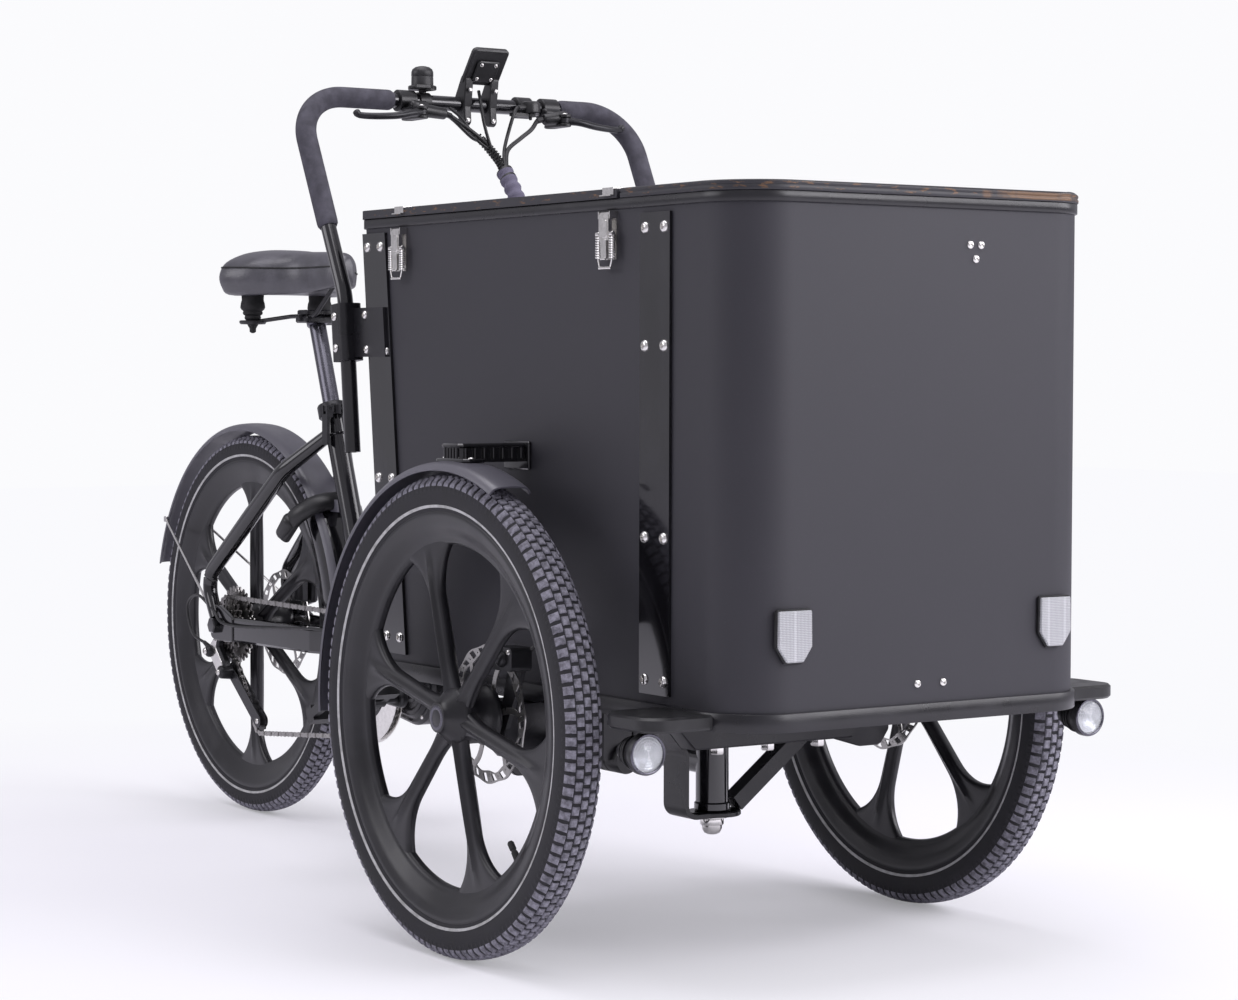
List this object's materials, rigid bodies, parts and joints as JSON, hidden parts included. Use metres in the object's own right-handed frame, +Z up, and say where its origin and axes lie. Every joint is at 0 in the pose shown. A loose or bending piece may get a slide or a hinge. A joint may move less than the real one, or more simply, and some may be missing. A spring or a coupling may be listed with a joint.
{
  "type": "cargo tricycle",
  "caption": "Black front-loading electric cargo tricycle with a deep lidded box between two cast front wheels, a rear drive wheel and a sprung saddle.",
  "frame": {"origin": "on the ground, below the middle of the overall box", "axes": "+X forward, +Y to the rider's left, +Z up"},
  "size_m": [2.093, 0.798, 1.2323],
  "materials": {
    "frame_paint": "satin black powder coat",
    "motor_case": "satin black anodised cast alloy",
    "panel_black": "fine textured charcoal black",
    "lid_ply": "black film on plywood, worn brown edges",
    "trim_gloss": "glossy black",
    "steel_bright": "zinc plated steel",
    "rotor_steel": "ground stainless steel",
    "wheel_cast": "satin black casting",
    "tyre_rubber": "matte rubber with block tread",
    "lens_clear": "clear prismatic lens",
    "plastic_black": "moulded black plastic",
    "alloy_black": "black anodised alloy",
    "alloy_grey": "satin grey alloy",
    "foam_grip": "closed cell foam",
    "cable_black": "black outer casing",
    "chain_steel": "oiled chain steel",
    "saddle_skin": "matte black synthetic leather",
    "boot_rubber": "black elastomer"
  },
  "bodies": {
    "rear_frame": {"frame_spine": "frame_paint", "rear_stays": "frame_paint", "motor_housing": "motor_case", "rear_fender": "trim_gloss", "ring_lock": "frame_paint", "seat_clamp": "frame_paint", "derailleur": "alloy_black", "chain": "chain_steel"},
    "qr_lever": {"qr_lever": "alloy_black"},
    "seat": {"seat_post": "alloy_grey", "saddle_rails": "frame_paint", "saddle_springs": "boot_rubber", "saddle": "saddle_skin"},
    "crank": {"chainring": "alloy_grey", "cranks": "alloy_black"},
    "pedal_right": {"pedal_right": "plastic_black"},
    "pedal_left": {"pedal_left": "plastic_black"},
    "cassette": {"cassette": "chain_steel"},
    "jockey_upper": {"jockey_upper": "plastic_black"},
    "jockey_lower": {"jockey_lower": "plastic_black"},
    "rear_wheel": {"wheel_rear": "wheel_cast", "tyre_rear": "tyre_rubber", "disc_rear": "rotor_steel"},
    "carriage": {"base_frame": "frame_paint", "pivot_yoke": "frame_paint", "axle_beam": "frame_paint", "box_walls": "panel_black", "box_floor": "panel_black", "box_rim": "frame_paint", "lid_front": "lid_ply", "box_hardware": "steel_bright", "side_strips": "trim_gloss", "reflectors": "lens_clear", "corner_lamps": "plastic_black", "front_fenders": "trim_gloss", "front_calipers": "alloy_black", "handlebar": "frame_paint", "grips": "foam_grip", "bar_clamps": "frame_paint", "bar_controls": "plastic_black", "display": "trim_gloss", "cable_loom": "cable_black", "cable_duct": "alloy_grey"},
    "lid": {"lid_rear": "lid_ply", "lid_keepers": "steel_bright"},
    "latch_lever_front": {"latch_lever_front": "steel_bright"},
    "latch_lever_rear": {"latch_lever_rear": "steel_bright"},
    "latch_loop_front": {"latch_loop_front": "steel_bright"},
    "latch_loop_rear": {"latch_loop_rear": "steel_bright"},
    "brake_lever_right": {"brake_lever_right": "alloy_black"},
    "brake_lever_left": {"brake_lever_left": "alloy_black"},
    "bell_striker": {"bell_striker": "plastic_black"},
    "shift_lever": {"shift_lever": "plastic_black"},
    "right_wheel": {"wheel_right": "wheel_cast", "tyre_right": "tyre_rubber", "disc_right": "rotor_steel"},
    "left_wheel": {"wheel_left": "wheel_cast", "tyre_left": "tyre_rubber", "disc_left": "rotor_steel"}
  },
  "joints": [
    {"name": "steering", "type": "hinge", "parent": "rear_frame", "child": "carriage", "pos_m": [0.60048, 0, 0.3], "axis": [0, 0, 1], "range_deg": [-40, 40]},
    {"name": "right_wheel_spin", "type": "hinge", "parent": "carriage", "child": "right_wheel", "pos_m": [0.55848, -0.369, 0.3075], "axis": [0, 1, 0], "continuous": true},
    {"name": "left_wheel_spin", "type": "hinge", "parent": "carriage", "child": "left_wheel", "pos_m": [0.55848, 0.369, 0.3075], "axis": [0, 1, 0], "continuous": true},
    {"name": "rear_wheel_spin", "type": "hinge", "parent": "rear_frame", "child": "rear_wheel", "pos_m": [-0.71952, 0, 0.318], "axis": [0, 1, 0], "continuous": true},
    {"name": "crank_spin", "type": "hinge", "parent": "rear_frame", "child": "crank", "pos_m": [-0.24152, 0, 0.27], "axis": [0, 1, 0], "continuous": true},
    {"name": "pedal_right_spin", "type": "hinge", "parent": "crank", "child": "pedal_right", "pos_m": [-0.07216, -0.17, 0.25518], "axis": [0, 1, 0], "continuous": true},
    {"name": "pedal_left_spin", "type": "hinge", "parent": "crank", "child": "pedal_left", "pos_m": [-0.41087, 0.17, 0.28482], "axis": [0, 1, 0], "continuous": true},
    {"name": "cassette_spin", "type": "hinge", "parent": "rear_frame", "child": "cassette", "pos_m": [-0.71952, -0.05, 0.318], "axis": [0, 1, 0], "continuous": true},
    {"name": "jockey_lower_spin", "type": "hinge", "parent": "rear_frame", "child": "jockey_lower", "pos_m": [-0.60752, -0.05, 0.166], "axis": [0, 1, 0], "continuous": true},
    {"name": "jockey_upper_spin", "type": "hinge", "parent": "rear_frame", "child": "jockey_upper", "pos_m": [-0.70552, -0.05, 0.24], "axis": [0, 1, 0], "continuous": true},
    {"name": "seat_height", "type": "slide", "parent": "rear_frame", "child": "seat", "axis": [-0.3469, 0, 0.9379], "range_m": [-0.06, 0.06]},
    {"name": "quick_release", "type": "hinge", "parent": "rear_frame", "child": "qr_lever", "pos_m": [-0.42205, -0.024, 0.68462], "axis": [-1, 0, 0], "range_deg": [0, 120]},
    {"name": "lid_hinge", "type": "hinge", "parent": "carriage", "child": "lid", "pos_m": [0.46, 0.286, 0.96], "axis": [-1, 0, 0], "range_deg": [0, 100]},
    {"name": "latch_front_lever", "type": "hinge", "parent": "carriage", "child": "latch_lever_front", "pos_m": [0.77148, -0.2838, 0.934], "axis": [-1, 0, 0], "range_deg": [0, 90]},
    {"name": "latch_rear_lever", "type": "hinge", "parent": "carriage", "child": "latch_lever_rear", "pos_m": [0.26048, -0.2838, 0.934], "axis": [-1, 0, 0], "range_deg": [0, 90]},
    {"name": "latch_front_loop", "type": "hinge", "parent": "latch_lever_front", "child": "latch_loop_front", "pos_m": [0.77148, -0.2863, 0.911], "axis": [-1, 0, 0], "range_deg": [0, 105]},
    {"name": "latch_rear_loop", "type": "hinge", "parent": "latch_lever_rear", "child": "latch_loop_rear", "pos_m": [0.26048, -0.2863, 0.911], "axis": [-1, 0, 0], "range_deg": [0, 105]},
    {"name": "brake_right", "type": "hinge", "parent": "carriage", "child": "brake_lever_right", "pos_m": [0.01843, -0.106, 1.121], "axis": [0, 0, -1], "range_deg": [0, 12], "stiffness_Nm_per_rad": 3, "springref_deg": -10},
    {"name": "brake_left", "type": "hinge", "parent": "carriage", "child": "brake_lever_left", "pos_m": [0.01843, 0.142, 1.121], "axis": [0, 0, 1], "range_deg": [0, 12], "stiffness_Nm_per_rad": 3, "springref_deg": -10},
    {"name": "bell_strike", "type": "hinge", "parent": "carriage", "child": "bell_striker", "pos_m": [-0.00557, -0.076, 1.16], "axis": [0, 0, -1], "range_deg": [0, 25], "stiffness_Nm_per_rad": 0.02, "springref_deg": -10},
    {"name": "gear_shift", "type": "hinge", "parent": "carriage", "child": "shift_lever", "pos_m": [-0.00557, 0.096, 1.135], "axis": [0, 0, 1], "range_deg": [0, 30], "stiffness_Nm_per_rad": 0.1, "springref_deg": -10}
  ],
  "couplings": [
    {"joint": "cassette_spin", "follows": "crank_spin", "ratio": 2},
    {"joint": "jockey_lower_spin", "follows": "crank_spin", "ratio": 4.6},
    {"joint": "jockey_upper_spin", "follows": "crank_spin", "ratio": -4.6}
  ]
}
